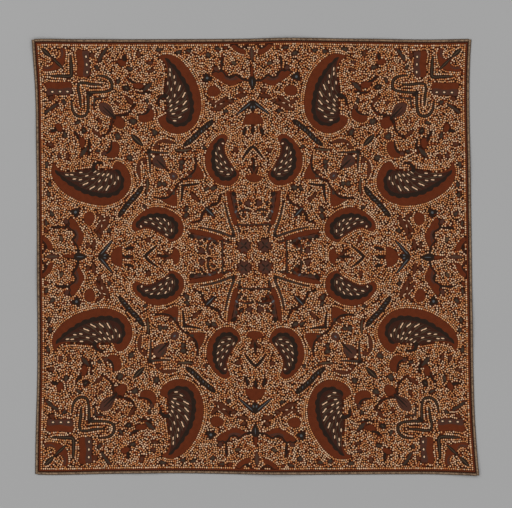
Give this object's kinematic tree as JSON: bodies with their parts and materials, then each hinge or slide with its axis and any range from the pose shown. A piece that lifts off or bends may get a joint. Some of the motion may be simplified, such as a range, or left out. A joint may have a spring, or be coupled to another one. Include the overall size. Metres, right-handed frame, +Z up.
{
  "type": "square wax-resist dyed cotton headcloth",
  "caption": "Square cotton headcloth laid flat, with a narrow rolled hem on each side and a dyed pattern of curved leaves on a dotted ground.",
  "frame": {"origin": "middle of the cloth's underside, on the surface it lies on", "axes": "+Z up out of the patterned face, +Y towards the top edge, +X towards the right edge"},
  "size_m": [1.0799, 1.058, 0.006],
  "materials": {
    "dyed_cotton": "thin plain-woven cotton, brown and dark blue wax-resist dye, matte",
    "hem_cotton": "rolled cotton hem, tan, matte"
  },
  "bodies": {
    "root": {"cloth": "dyed_cotton", "hem_top": "hem_cotton", "hem_bottom": "hem_cotton", "hem_left": "hem_cotton", "hem_right": "hem_cotton"}
  },
  "joints": []
}
